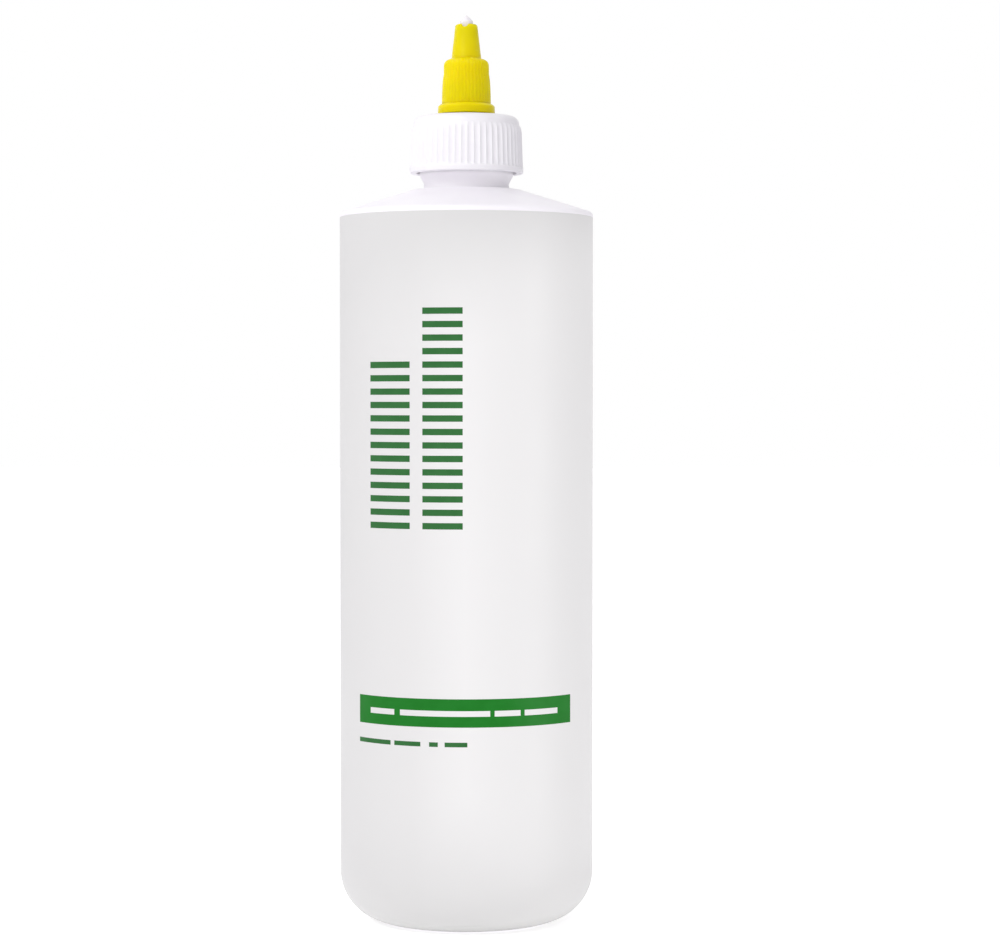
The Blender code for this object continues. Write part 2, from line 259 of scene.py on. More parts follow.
def dome(edge, crown, count):
    """Points along a shallow arc from its edge up to its crown on the axis."""
    rise = crown - edge[1]
    sphere = (edge[0] ** 2 + rise**2) / (2 * rise)
    whole = math.degrees(math.asin(edge[0] / sphere))
    return arc((0, crown - sphere), sphere, 90 - whole, 90, count)


def rounded(corners, facets=6):
    """The points of a section, with an arc for each corner that has a radius as its third number."""
    points = []
    for i, corner in enumerate(corners):
        if len(corner) == 2:
            points.append(corner)
            continue
        x, z, radius = corner
        before = corners[i - 1]
        after = corners[(i + 1) % len(corners)]
        back = math.hypot(before[0] - x, before[1] - z)
        ahead = math.hypot(after[0] - x, after[1] - z)
        back_way = ((before[0] - x) / back, (before[1] - z) / back)
        ahead_way = ((after[0] - x) / ahead, (after[1] - z) / ahead)
        half = math.acos(back_way[0] * ahead_way[0] + back_way[1] * ahead_way[1]) / 2
        reach = radius / math.tan(half)
        middle_way = (back_way[0] + ahead_way[0], back_way[1] + ahead_way[1])
        out = math.hypot(radius, reach) / math.hypot(*middle_way)
        centre = (x + middle_way[0] * out, z + middle_way[1] * out)
        start = math.atan2(z + back_way[1] * reach - centre[1], x + back_way[0] * reach - centre[0])
        end = math.atan2(z + ahead_way[1] * reach - centre[1], x + ahead_way[0] * reach - centre[0])
        turn = (end - start + math.pi) % math.tau - math.pi
        points += arc(centre, radius, math.degrees(start), math.degrees(start + turn), facets)
    return points


def turned(name, section, columns):
    """A round piece: its half section is drawn point by point and spun about the Z axis."""
    start_fresh()
    x, z = section[0]
    bpy.ops.mesh.primitive_plane_add(size=MM, location=(x * MM, 0, z * MM))
    piece = bpy.context.object
    piece.name = piece.data.name = name
    bpy.ops.object.mode_set(mode="EDIT")
    bpy.ops.mesh.select_mode(type="VERT")
    bpy.ops.mesh.select_all(action="SELECT")
    bpy.ops.mesh.merge(type="CENTER")
    for (x, z), (next_x, next_z) in zip(section, section[1:]):
        step = ((next_x - x) * MM, 0, (next_z - z) * MM)
        bpy.ops.mesh.extrude_region_move(TRANSFORM_OT_translate={"value": step})
    bpy.ops.mesh.select_all(action="SELECT")
    bpy.ops.mesh.spin(steps=columns, angle=math.tau, center=(0, 0, 0), axis=(0, 0, 1))
    bpy.ops.mesh.select_all(action="SELECT")
    bpy.ops.mesh.remove_doubles(threshold=WELD)
    bpy.ops.mesh.normals_make_consistent(inside=False)
    bpy.ops.object.mode_set(mode="OBJECT")
    bpy.ops.object.transform_apply(location=True, rotation=True, scale=True)
    return piece


def column_of(point, columns):
    """Which column of a turned piece a point is in, counted round from the +X side."""
    return round(math.atan2(point.co.y, point.co.x) / math.tau * columns) % columns


def raise_ribs(piece, count, shape, rings):
    """Pull ribs out of the grooved wall of a turned piece.

    shape gives the share of a rib's depth at each of its columns, and each ring is its height, the
    radius of its grooves, as turned, and the radius of its crests.
    """
    columns = count * len(shape)
    edit(piece)
    for height, groove, crest in rings:
        for share in sorted(set(shape) - {0}):
            rows = {i for i, depth in enumerate(shape) if depth == share}
            choose_points(
                piece,
                lambda point: abs(point.co.z - height * MM) < NEAR
                and abs(math.hypot(point.co.x, point.co.y) - groove * MM) < NEAR
                and column_of(point, columns) % len(shape) in rows,
            )
            size = 1 + share * (crest - groove) / groove
            bpy.ops.transform.resize(value=(size, size, 1), center_override=(0, 0, 0))
    bpy.ops.object.mode_set(mode="OBJECT")


def thread_ridge(name, wall, crest, start, lead, turns, root_width, crest_width, turn=0):
    """A thread's ridge on a wall: a trapezoid screwed up round the axis and run out at both ends."""
    start_fresh()
    outward = 1 if crest > wall else -1
    root = wall - outward * RIDGE_SUNK
    middle = ((root + crest) / 2 * MM, 0, start * MM)
    bpy.ops.mesh.primitive_plane_add(size=MM, location=middle, rotation=(math.pi / 2, 0, 0))
    ridge = bpy.context.object
    ridge.name = name
    bpy.ops.object.mode_set(mode="EDIT")
    bpy.ops.mesh.select_all(action="SELECT")
    bpy.ops.transform.resize(value=(abs(crest - root), 1, root_width), center_override=middle)
    choose_points(ridge, lambda point: point.co.x * outward > 0)
    tip = (crest * MM, 0, start * MM)
    bpy.ops.transform.resize(value=(1, 1, crest_width / root_width), center_override=tip)
    bpy.ops.mesh.select_all(action="SELECT")
    bpy.ops.mesh.delete(type="ONLY_FACE")
    bpy.ops.object.mode_set(mode="OBJECT")
    bpy.ops.object.transform_apply(location=True, rotation=True, scale=True)
    steps = round(RIDGE_STEPS * turns)
    screw = ridge.modifiers.new("screw", "SCREW")
    screw.axis = "Z"
    screw.angle = math.tau * turns
    screw.screw_offset = lead * turns * MM
    screw.steps = screw.render_steps = steps
    screw.use_smooth_shade = False
    bpy.ops.object.modifier_apply(modifier=screw.name)
    edit(ridge)
    for i in range(RUN_OUT_STEPS):
        size = RUN_OUT_SIZE + (1 - RUN_OUT_SIZE) * math.sin(math.pi / 2 * i / RUN_OUT_STEPS)
        for step in (i, steps - i):
            choose_points(ridge, lambda point: point.index // 4 == step)
            way = turns * step / steps
            angle = math.tau * way
            height = (start + lead * way) * MM
            foot = (wall * MM * math.cos(angle), wall * MM * math.sin(angle), height)
            bpy.ops.transform.resize(value=(size, size, size), center_override=foot)
    bpy.ops.mesh.select_all(action="SELECT")
    bpy.ops.mesh.fill_holes(sides=4)
    bpy.ops.mesh.select_all(action="SELECT")
    bpy.ops.mesh.normals_make_consistent(inside=False)
    bpy.ops.object.mode_set(mode="OBJECT")
    ridge.rotation_euler.z = turn
    bpy.ops.object.transform_apply(location=True, rotation=True, scale=True)
    return ridge


def combine(piece, tool, operation):
    """Join a tool to the piece or cut it away, throw the tool away and weld points that coincide."""
    take_up(piece)
    change = piece.modifiers.new("combine", "BOOLEAN")
    change.operation = operation
    change.solver = "EXACT"
    change.object = tool
    bpy.ops.object.modifier_apply(modifier=change.name)
    bpy.data.objects.remove(tool)
    edit(piece)
    bpy.ops.mesh.select_all(action="SELECT")
    bpy.ops.mesh.remove_doubles(threshold=WELD)
    bpy.ops.object.mode_set(mode="OBJECT")


def finish(piece, materials, body, node):
    """Smooth a piece, give it its materials, and let it stand for its node on its body."""
    take_up(piece)
    bpy.ops.object.shade_smooth_by_angle(angle=math.radians(SHARP_ANGLE))
    even = piece.modifiers.new("even", "WEIGHTED_NORMAL")
    even.keep_sharp = True
    bpy.ops.object.modifier_apply(modifier=even.name)
    for material in materials:
        piece.data.materials.append(material)
    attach(piece, body)
    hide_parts(node)


def group(name, inputs, outputs):
    """An empty shader node group with named sockets, given as (name, kind, value)."""
    made = bpy.data.node_groups.new(name, "ShaderNodeTree")
    for label, kind, value in inputs:
        socket = made.interface.new_socket(label, in_out="INPUT", socket_type="NodeSocket" + kind)
        if value is not None:
            socket.default_value = value
    for label, kind in outputs:
        made.interface.new_socket(label, in_out="OUTPUT", socket_type="NodeSocket" + kind)
    return made, made.nodes.new("NodeGroupInput").outputs, made.nodes.new("NodeGroupOutput").inputs


class Wiring:
    """Adds nodes to a tree and links each one's inputs as it is made."""

    def __init__(self, tree):
        self.tree = tree

    def feed(self, socket, value):
        if isinstance(value, bpy.types.NodeSocket):
            self.tree.links.new(value, socket)
        else:
            socket.default_value = value

    def node(self, kind, **inputs):
        made = self.tree.nodes.new("ShaderNode" + kind)
        for name, value in inputs.items():
            self.feed(made.inputs[name.replace("_", " ")], value)
        return made

    def math(self, operation, first, second=0.0):
        made = self.tree.nodes.new("ShaderNodeMath")
        made.operation = operation
        self.feed(made.inputs[0], first)
        self.feed(made.inputs[1], second)
        return made.outputs[0]

    def ramp(self, value, low, high, low_out=0.0, high_out=1.0):
        """Smoothly maps value from low..high onto low_out..high_out."""
        made = self.tree.nodes.new("ShaderNodeMapRange")
        made.interpolation_type = "SMOOTHSTEP"
        for socket, number in zip(made.inputs, (value, low, high, low_out, high_out)):
            self.feed(socket, number)
        return made.outputs[0]

    def blend(self, share, first, second):
        """Mixes two colours by a share."""
        made = self.tree.nodes.new("ShaderNodeMix")
        made.data_type = "RGBA"
        self.feed(made.inputs[0], share)
        self.feed(made.inputs[6], first)
        self.feed(made.inputs[7], second)
        return made.outputs[2]

    def use(self, tree, **inputs):
        """Places a node group with its own values."""
        made = self.tree.nodes.new("ShaderNodeGroup")
        made.node_tree = tree
        for name, value in inputs.items():
            self.feed(made.inputs[name.replace("_", " ")], value)
        return made.outputs


def moulded_skin():
    """The skin of moulded plastic: a fine orange peel, and a gloss that drifts across it."""
    inputs = [
        ("Place", "Vector", None),
        ("Peel size", "Float", 1.2),
        ("Peel depth", "Float", 0.5),
        ("Gloss low", "Float", 0.35),
        ("Gloss high", "Float", 0.45),
    ]
    tree, given, out = group("moulded_skin", inputs, [("Roughness", "Float"), ("Height", "Float")])
    wire = Wiring(tree)
    scale = wire.math("DIVIDE", 1 / MM, given["Peel size"])
    fine = wire.math("MULTIPLY", scale, 6.5)
    broad = wire.math("MULTIPLY", scale, 0.13)
    peel = wire.node("TexNoise", Vector=given["Place"], Scale=scale, Detail=2.0).outputs[0]
    tooling = wire.node("TexNoise", Vector=given["Place"], Scale=fine, Detail=3.0).outputs[0]
    drift = wire.node("TexNoise", Vector=given["Place"], Scale=broad, Detail=3.0).outputs[0]
    height = wire.math("ADD", peel, wire.math("MULTIPLY", tooling, 0.18))
    tree.links.new(wire.math("MULTIPLY", height, given["Peel depth"]), out["Height"])
    gloss = wire.ramp(drift, 0.3, 0.7, given["Gloss low"], given["Gloss high"])
    tree.links.new(gloss, out["Roughness"])
    return tree


def resin_tint():
    """Colour that drifts a little through the resin, as flow leaves it."""
    inputs = [
        ("Place", "Vector", None),
        ("Flow size", "Float", 12.0),
        ("Main", "Color", (1, 1, 1, 1)),
        ("Drift", "Color", (1, 1, 1, 1)),
    ]
    tree, given, out = group("resin_tint", inputs, [("Colour", "Color")])
    wire = Wiring(tree)
    scale = wire.math("DIVIDE", 1 / MM, given["Flow size"])
    flow = wire.node("TexNoise", Vector=given["Place"], Scale=scale, Detail=4.0, Distortion=0.6)
    share = wire.ramp(flow.outputs[0], 0.35, 0.7)
    tree.links.new(wire.blend(share, given["Main"], given["Drift"]), out["Colour"])
    return tree


def handling_marks():
    """Faint rubbed streaks that shelves, boxes and fingers leave on plastic."""
    inputs = [("Place", "Vector", None), ("Amount", "Float", 0.5)]
    tree, given, out = group("handling_marks", inputs, [("Marks", "Float")])
    wire = Wiring(tree)
    total = None
    streaks = ((0.5, (900, 900, 90)), (-0.35, (120, 1100, 1100)), (1.1, (1000, 140, 800)))
    for turn, stretch in streaks:
        slant = (0.2, turn, turn)
        laid = wire.node("Mapping", Vector=given["Place"], Rotation=slant, Scale=stretch).outputs[0]
        streak = wire.node("TexNoise", Vector=laid, Scale=1.0, Detail=1.0).outputs[0]
        share = wire.ramp(streak, 0.66, 0.74)
        total = share if total is None else wire.math("MAXIMUM", total, share)
    patch = wire.node("TexNoise", Vector=given["Place"], Scale=70.0, Detail=2.0).outputs[0]
    shown = wire.math("MULTIPLY", total, wire.ramp(patch, 0.5, 0.68))
    tree.links.new(wire.math("MULTIPLY", shown, given["Amount"]), out["Marks"])
    return tree


SKIN = moulded_skin()
TINT = resin_tint()
MARKS = handling_marks()


def new_material(name, **sockets):
    """A material whose shader has these plain values, with its wiring and its place on the object."""
    material = bpy.data.materials.new(name)
    material.use_nodes = True
    shader = material.node_tree.nodes["Principled BSDF"]
    for label, value in sockets.items():
        shader.inputs[label.replace("_", " ")].default_value = value
    wire = Wiring(material.node_tree)
    place = wire.node("TexCoord").outputs["Object"]
    return material, shader, wire, place


def dress(shader, wire, colour, roughness, height, strength, depth):
    """Feeds a shader its colour and roughness, and a bump of so many millimetres."""
    wire.feed(shader.inputs["Base Color"], colour)
    wire.feed(shader.inputs["Roughness"], roughness)
    bump = wire.node("Bump", Strength=strength, Distance=depth * MM, Height=height)
    wire.feed(shader.inputs["Normal"], bump.outputs[0])


def moulded_plastic(name, main, drift, flow_size, gloss, peel_size, peel_depth, marks, **sockets):
    """A moulded plastic with a drifting tint, an orange-peel skin and faint handling marks."""
    material, shader, wire, place = new_material(name, **sockets)
    tint = wire.use(TINT, Place=place, Flow_size=flow_size, Main=(*main, 1), Drift=(*drift, 1))
    skin = wire.use(
        SKIN,
        Place=place,
        Peel_size=peel_size,
        Peel_depth=peel_depth,
        Gloss_low=gloss[0],
        Gloss_high=gloss[1],
    )
    rubbed = wire.use(MARKS, Place=place, Amount=marks)
    roughness = wire.math("ADD", skin["Roughness"], rubbed["Marks"])
    dress(shader, wire, tint["Colour"], roughness, skin["Height"], strength=0.35, depth=0.02)
    return material


def film_material():
    """Pale grey printed film with painted light.

    It is lighter in a tall soft field down the middle of its panels, partly print and partly a
    painted highlight, and paler towards its right side as painted fill light.
    """
    material, shader, wire, place = new_material("pale_grey_film", IOR=1.5, Specular_IOR_Level=0.25)
    x, y, z = wire.node("SeparateXYZ", Vector=place).outputs
    above = wire.math("MAXIMUM", wire.math("SUBTRACT", z, FIELD_TOP * MM), 0.0)
    below = wire.math("MAXIMUM", wire.math("SUBTRACT", FIELD_BOTTOM * MM, z), 0.0)
    ends = wire.math("ADD", above, below)
    squares = wire.math("ADD", wire.math("MULTIPLY", x, x), wire.math("MULTIPLY", ends, ends))
    away = wire.math("SQRT", squares)
    field = wire.math("SUBTRACT", 1.0, wire.math("DIVIDE", away, FIELD_REACH * MM))
    field = wire.math("MAXIMUM", field, 0.0)
    # Painted fill light: the film's colour is paler towards its right side
    painted_fill = wire.ramp(x, PAINTED_FILL_FROM * MM, BODY_RADIUS * MM)
    plain = wire.blend(painted_fill, FILM_GREY, FILM_PAINTED_FILL)
    # The tall field is partly print and partly a painted highlight down the middle of the panels
    printed = wire.blend(field, plain, FILM_WHITE)
    seam_edge = BODY_RADIUS * math.sin(math.radians(SEAM_HALF_ANGLE))
    on_seam = wire.math("LESS_THAN", wire.math("ABSOLUTE", x), seam_edge * MM)
    at_back = wire.math("GREATER_THAN", y, 0.0)
    doubled = wire.math("MULTIPLY", wire.math("MULTIPLY", on_seam, at_back), DOUBLED_SHARE)
    colour = wire.blend(doubled, printed, FILM_DOUBLED)
    skin = wire.use(SKIN, Place=place, Peel_size=2.6, Peel_depth=0.6, Gloss_low=0.42, Gloss_high=0.50)
    rubbed = wire.use(MARKS, Place=place, Amount=0.10)
    roughness = wire.math("ADD", skin["Roughness"], rubbed["Marks"])
    drawn = wire.node("Mapping", Vector=place, Scale=(420, 420, 60)).outputs[0]
    pucker = wire.node("TexNoise", Vector=drawn, Scale=1.0, Detail=2.0).outputs[0]
    at_base = wire.ramp(z, PUCKER_TOP * MM, PUCKER_FULL * MM)
    raised = wire.math("MULTIPLY", wire.math("MULTIPLY", pucker, at_base), PUCKER_HEIGHT)
    height = wire.math("ADD", skin["Height"], raised)
    dress(shader, wire, colour, roughness, height, strength=0.3, depth=0.02)
    return material


def ink_material(name, main, drift):
    """Solid ink on the film, a little uneven in its cover and its gloss."""
    material, shader, wire, place = new_material(name, IOR=1.5, Specular_IOR_Level=0.15)
    tint = wire.use(TINT, Place=place, Flow_size=3.0, Main=(*main, 1), Drift=(*drift, 1))
    skin = wire.use(SKIN, Place=place, Peel_size=0.9, Peel_depth=0.4, Gloss_low=0.42, Gloss_high=0.50)
    dress(shader, wire, tint["Colour"], skin["Roughness"], skin["Height"], strength=0.3, depth=0.01)
    return material


def foam_material():
    """White closed-cell foam, with its cells as small dimples."""
    material, shader, wire, place = new_material("white_foam_sheet", IOR=1.4)
    cells = wire.node("TexVoronoi", Vector=place, Scale=3200.0).outputs["Distance"]
    main, drift = (0.92, 0.92, 0.90, 1), (0.86, 0.86, 0.83, 1)
    tint = wire.use(TINT, Place=place, Flow_size=2.0, Main=main, Drift=drift)
    roughness = wire.ramp(cells, 0.1, 0.9, 0.78, 0.92)
    dress(shader, wire, tint["Colour"], roughness, cells, strength=0.5, depth=0.05)
    return material


hdpe = moulded_plastic(
    "milky_hdpe",
    main=(0.915, 0.890, 0.935),
    drift=(0.935, 0.915, 0.950),
    flow_size=9.0,
    gloss=(0.38, 0.46),
    peel_size=1.6,
    peel_depth=0.9,
    marks=0.08,
    Subsurface_Weight=0.12,
    Subsurface_Radius=(1.6 * MM, 1.5 * MM, 1.7 * MM),
    Subsurface_Scale=1.0,
    IOR=1.5,
)
polypropylene = moulded_plastic(
    "white_polypropylene_cap",
    main=(0.880, 0.867, 0.897),
    drift=(0.860, 0.845, 0.879),
    flow_size=4.0,
    gloss=(0.30, 0.38),
    peel_size=0.7,
    peel_depth=0.5,
    marks=0.12,
    IOR=1.49,
    Specular_IOR_Level=0.35,
)
yellow = moulded_plastic(
    "yellow_polyethylene_nozzle",
    main=(0.780, 0.632, 0.002),
    drift=(0.800, 0.650, 0.003),
    flow_size=2.5,
    gloss=(0.21, 0.27),
    peel_size=0.5,
    peel_depth=0.6,
    marks=0.12,
    IOR=1.51,
    Specular_IOR_Level=0.09,
    Subsurface_Weight=0.9,
    Subsurface_Radius=(2.5 * MM, 2.5 * MM, 0.5 * MM),
    Subsurface_Scale=1.0,
)
clear = moulded_plastic(
    "milky_clear_pin",
    main=(0.925, 0.895, 0.940),
    drift=(0.945, 0.920, 0.955),
    flow_size=1.5,
    gloss=(0.22, 0.30),
    peel_size=0.5,
    peel_depth=0.4,
    marks=0.05,
    Transmission_Weight=0.08,
    Subsurface_Weight=0.4,
    Subsurface_Radius=(1.0 * MM, 1.0 * MM, 1.1 * MM),
    Subsurface_Scale=1.0,
    IOR=1.5,
)
film = film_material()
dark_green = ink_material("dark_green_ink", main=(0.026, 0.130, 0.033), drift=(0.031, 0.142, 0.038))
bar_green = ink_material("bar_green_ink", main=(0.006, 0.161, 0.011), drift=(0.008, 0.172, 0.014))
foam = foam_material()


def make_bottle():
    """The blow-moulded bottle, with its parting line and the thread on its neck."""
    inner = BODY_RADIUS - RECESS_DEPTH - BODY_WALL
    slope = (LEDGE - SHOULDER_TOP) / (BODY_RADIUS - LEDGE_RADIUS)
    under = SHOULDER_TOP - BODY_WALL * math.hypot(1, slope)
    inner_corner = under + (BODY_RADIUS - inner) * slope
    bore_corner = under + (BODY_RADIUS - NECK_BORE) * slope
    section = rounded(
        [
            *reversed(dome((PUSH_UP_RADIUS, PUSH_UP_EDGE + BODY_WALL), PUSH_UP_CROWN + BODY_WALL, 12)),
            *arc(BASE_CENTRE, BASE_ROUND - RECESS_DEPTH - BODY_WALL, -90, 0, 20),
            (inner, inner_corner, 1.4),
            (NECK_BORE, bore_corner, 1.9),
            (NECK_BORE, NECK_TOP, 0.25),
            (NECK_RADIUS, NECK_TOP, 0.4),
            (NECK_RADIUS, BEAD_HEAD, 0.3),
            (BEAD_RADIUS, BEAD_BAND[1], 0.3),
            (BEAD_RADIUS, BEAD_BAND[0], 0.4),
            (NECK_RADIUS, BEAD_FOOT),
            (NECK_RADIUS, LEDGE, 0.35),
            (LEDGE_RADIUS, LEDGE, 0.4),
            (BODY_RADIUS, SHOULDER_TOP, 1.05),
            (BODY_RADIUS, RECESS_TOP),
            (BODY_RADIUS - RECESS_DEPTH, RECESS_TOP),
            *arc(BASE_CENTRE, BASE_ROUND - RECESS_DEPTH, 0, -RECESS_END_ANGLE, 20),
            *arc(BASE_CENTRE, BASE_ROUND, -RECESS_END_ANGLE, -90, 5),
            (FOOT_RADIUS, 0, 0.3),
            *dome((PUSH_UP_RADIUS, PUSH_UP_EDGE), PUSH_UP_CROWN, 12),
        ]
    )
    bottle = turned("bottle_shell", section, BOTTLE_COLUMNS)
    edit(bottle)
    seam = {0, BOTTLE_COLUMNS // 2}
    choose_points(
        bottle,
        lambda point: column_of(point, BOTTLE_COLUMNS) in seam
        and (over_the_shoulder(point) or under_the_base(point)),
    )
    bpy.ops.transform.shrink_fatten(value=PARTING_HEIGHT * MM)
    bpy.ops.object.mode_set(mode="OBJECT")
    ridge = thread_ridge(
        "neck_thread",
        wall=NECK_RADIUS,
        crest=9.6,
        start=NECK_THREAD_START,
        lead=CAP_PITCH,
        turns=1.4,
        root_width=1.2,
        crest_width=0.5,
    )
    combine(bottle, ridge, "UNION")
    finish(bottle, [hdpe], "bottle", "bottle")


def over_the_shoulder(point):
    """Whether a point is on the outside of the shoulder or the neck, below the cap."""
    radius = math.hypot(point.co.x, point.co.y) / MM
    outside = radius > 1.1 * NECK_BORE and point.normal.z > -0.2
    return outside and RECESS_TOP + 0.2 < point.co.z / MM < PARTING_TOP


def under_the_base(point):
    """Whether a point is on the outside of the push-up, away from its middle."""
    radius = math.hypot(point.co.x, point.co.y) / MM
    push_up = PUSH_UP_EDGE + (PUSH_UP_CROWN - PUSH_UP_EDGE) * (1 - (radius / PUSH_UP_RADIUS) ** 2)
    middle_of_wall = push_up + BODY_WALL / 2
    return within(radius, PARTING_UNDER) and point.co.z / MM < middle_of_wall


def make_label():
    """The shrunk film with its printed bars, and its overlapped seam at the back."""
    rungs = [PRINT_FOOT + RUNG_PITCH * i for i in range(max(RUNGS.values()))]
    levels = {*BAR_HEIGHTS, *BAR_DASH_HEIGHTS, *SMALL_DASH_HEIGHTS}
    levels |= {round(z, 3) for z in rungs} | {round(z + RUNG_HEIGHT, 3) for z in rungs}
    section = [
        (BODY_RADIUS, FILM_TOP),
        *[(BODY_RADIUS, z) for z in sorted(levels, reverse=True)],
        (BODY_RADIUS, 26.0),
        (BODY_RADIUS, 16.0),
        *arc(BASE_CENTRE, BASE_ROUND, 0, -FILM_END_ANGLE, 24),
        *arc(BASE_CENTRE, BASE_ROUND - FILM_THICKNESS, -FILM_END_ANGLE, 0, 12),
        (BODY_RADIUS - FILM_THICKNESS, FILM_TOP),
        (BODY_RADIUS, FILM_TOP),
    ]
    label = turned("label_film", section, FILM_COLUMNS)
    edit(label)
    back = math.radians(90)
    choose_faces(
        label,
        lambda middle, normal: middle.x * normal.x + middle.y * normal.y > 0.1 * MM
        and abs(math.atan2(middle.y, middle.x) - back) < math.radians(SEAM_HALF_ANGLE),
    )
    bpy.ops.mesh.extrude_region_shrink_fatten(TRANSFORM_OT_shrink_fatten={"value": SEAM_STEP * MM})
    bpy.ops.object.mode_set(mode="OBJECT")
    finish(label, [film, dark_green, bar_green], "bottle", "label_sleeve")
    for face in label.data.polygons:
        middle = face.center
        if math.hypot(middle.x, middle.y) > (BODY_RADIUS - 0.1) * MM:
            side = math.degrees(math.atan2(middle.x, -middle.y))
            face.material_index = ink_at(side, middle.z / MM)


def ink_at(side, height):
    """The film's slot at an angle from its front and a height: 0 bare, 1 dark green, 2 bar green."""
    step = (height - PRINT_FOOT) / RUNG_PITCH
    on_rung = step % 1 * RUNG_PITCH < RUNG_HEIGHT
    for sides, count in RUNGS.items():
        if within(side, sides) and 0 <= step < count and on_rung:
            return 1
    if within(height, BAR_HEIGHTS) and within(side, BAR_SIDES):
        in_dash = any(within(side, dash) for dash in BAR_DASHES)
        return 0 if in_dash and within(height, BAR_DASH_HEIGHTS) else 2
    in_dash = any(within(side, dash) for dash in SMALL_DASHES)
    return 1 if in_dash and within(height, SMALL_DASH_HEIGHTS) else 0


def make_liner():
    """The foam ring, pressed in where the top of the neck bears on it."""
    section = rounded(
        [
            (LINER_BORE, LINER_TOP, 0.1),
            (LINER_RADIUS, LINER_TOP, 0.15),
            (LINER_RADIUS, LINER_BOTTOM, 0.15),
            (NECK_RADIUS, LINER_BOTTOM, 0.1),
            (NECK_RADIUS - 0.2, LINER_GROOVE, 0.1),
            (NECK_BORE + 0.2, LINER_GROOVE, 0.1),
            (NECK_BORE, LINER_BOTTOM, 0.1),
            (LINER_BORE, LINER_BOTTOM, 0.1),
        ],
        facets=3,
    )
    liner = turned("liner_ring", [*section, section[0]], 128)
    finish(liner, [foam], "liner", "cap_liner")


def make_cap():
    """The screw cap: ribs that run out into its shoulder, threads inside and round its tower.

    Each of the ribs' rings is its height, the radius of its grooves and the radius of its crests.
    """
    rings = [
        (151.15, 11.29, 11.37),
        (151.3, 11.19, 11.35),
        (151.5, 11.13, 11.34),
        (151.8, 11.1, 11.33),
        (158.1, 10.91, 11.12),
        (158.5, 10.88, 11.07),
        (158.9, 10.84, 10.98),
        (159.3, 10.76, 10.84),
    ]
    section = rounded(
        [
            (NOSE_BORE, NOSE_TOP, 0.1),
            (NOSE_RADIUS, NOSE_TOP, 0.2),
            (NOSE_RADIUS, TOWER_TOP, 0.15),
            (TOWER_RADIUS, TOWER_TOP, 0.3),
            (TOWER_RADIUS, DECK, 0.4),
            (DECK_RADIUS, DECK_EDGE, 1.65),
            (DECK_RADIUS, 159.65),
            *[(groove, height) for height, groove, crest in reversed(rings)],
            (11.4, 151.05),
            (RIM_RADIUS, RIM_TOP, 0.12),
            (RIM_RADIUS, RIM, 0.3),
            (CAP_BORE, RIM, 0.25),
            (CAP_BORE, 157.8, 0.3),
            (SEAT_RADIUS, 158.5, 0.2),
            (SEAT_RADIUS, DECK_UNDERSIDE, 0.2),
            (HUB_SEAT_RADIUS, DECK_UNDERSIDE, 0.2),
            (HUB_SEAT_RADIUS, HUB_SEAT_TOP, 0.2),
            (NOSE_BORE, HUB_SEAT_TOP),
        ]
    )
    cap = turned("cap_shell", [*section, section[0]], CAP_RIBS * len(CAP_RIB_SHAPE))
    raise_ribs(cap, CAP_RIBS, CAP_RIB_SHAPE, rings)
    ridge = thread_ridge(
        "cap_thread",
        wall=CAP_BORE,
        crest=8.95,
        start=NECK_THREAD_START - CAP_PITCH / 2,
        lead=CAP_PITCH,
        turns=1.4,
        root_width=1.2,
        crest_width=0.5,
    )
    combine(cap, ridge, "UNION")
    for turn in (0, math.pi):
        ridge = thread_ridge(
            "tower_thread",
            wall=TOWER_RADIUS,
            crest=3.6,
            start=TOWER_THREAD_START,
            lead=NOZZLE_LEAD,
            turns=0.42,
            root_width=0.9,
            crest_width=0.4,
            turn=turn,
        )
        combine(cap, ridge, "UNION")
    finish(cap, [polypropylene], "cap", "screw_cap")


def make_pin():
    """The sealing pin: its pointed head, its shaft and its hub on three webs."""
    head = rounded(
        [
            (0, PIN_TOP),
            (0.12, PIN_TOP),
            (HEAD_RADIUS, 180.52, 0.15),
            (HEAD_RADIUS, 178.42, 0.1),
            (SHAFT_RADIUS, 177.97),
        ],
        facets=4,
    )
    shaft = [(SHAFT_RADIUS, PIN_BOTTOM + 0.1), (SHAFT_RADIUS - 0.1, PIN_BOTTOM), (0, PIN_BOTTOM)]
    pin = turned("pin_insert", [*head, *shaft], PIN_COLUMNS)
    hub = rounded(
        [
            (HUB_BORE, HUB_TOP, 0.1),
            (HUB_RADIUS, HUB_TOP, 0.15),
            (HUB_RADIUS, PIN_BOTTOM, 0.15),
            (HUB_BORE, PIN_BOTTOM, 0.1),
        ],
        facets=3,
    )
    combine(pin, turned("pin_hub", [*hub, hub[0]], PIN_COLUMNS), "UNION")
    middle = [way * MM for way in WEB_MIDDLE]
    for i in range(WEBS):
        start_fresh()
        bpy.ops.mesh.primitive_cube_add(size=MM, location=middle)
        web = bpy.context.object
        bpy.ops.object.mode_set(mode="EDIT")
        bpy.ops.mesh.select_all(action="SELECT")
        bpy.ops.transform.resize(value=WEB_SIZE, center_override=middle)
        bpy.ops.mesh.bevel(offset=0.08 * MM, segments=2, affect="EDGES")
        bpy.ops.object.mode_set(mode="OBJECT")
        bpy.ops.object.transform_apply(location=True, rotation=True, scale=True)
        web.rotation_euler.z = math.tau * i / WEBS
        bpy.ops.object.transform_apply(location=True, rotation=True, scale=True)
        combine(pin, web, "UNION")
    finish(pin, [clear], "pin", "sealing_pin")


